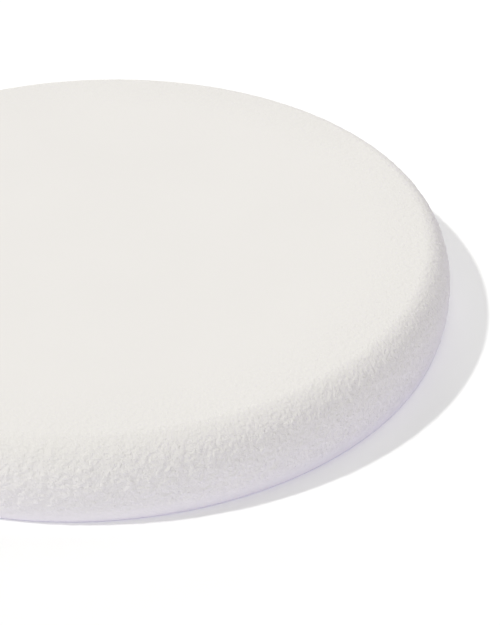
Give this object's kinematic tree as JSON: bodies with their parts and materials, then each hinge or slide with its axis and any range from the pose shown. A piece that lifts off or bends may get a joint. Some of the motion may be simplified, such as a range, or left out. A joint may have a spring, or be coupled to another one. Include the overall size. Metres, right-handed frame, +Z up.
{
  "type": "powder puff",
  "caption": "Round foam powder puff with smooth flat faces and a soft, ground, rounded edge, for patting loose or pressed powder onto skin",
  "frame": {"origin": "centre of the underside, on the surface that the puff rests on", "axes": "+Z up through the puff, square to both faces and along its round axis; X and Y are alike"},
  "size_m": [0.066, 0.066, 0.0075],
  "materials": {
    "foam": "matte",
    "face_skin": "matte"
  },
  "bodies": {
    "root": {"lower_face_skin": "face_skin", "foam_core": "foam", "upper_face_skin": "face_skin"}
  },
  "joints": []
}
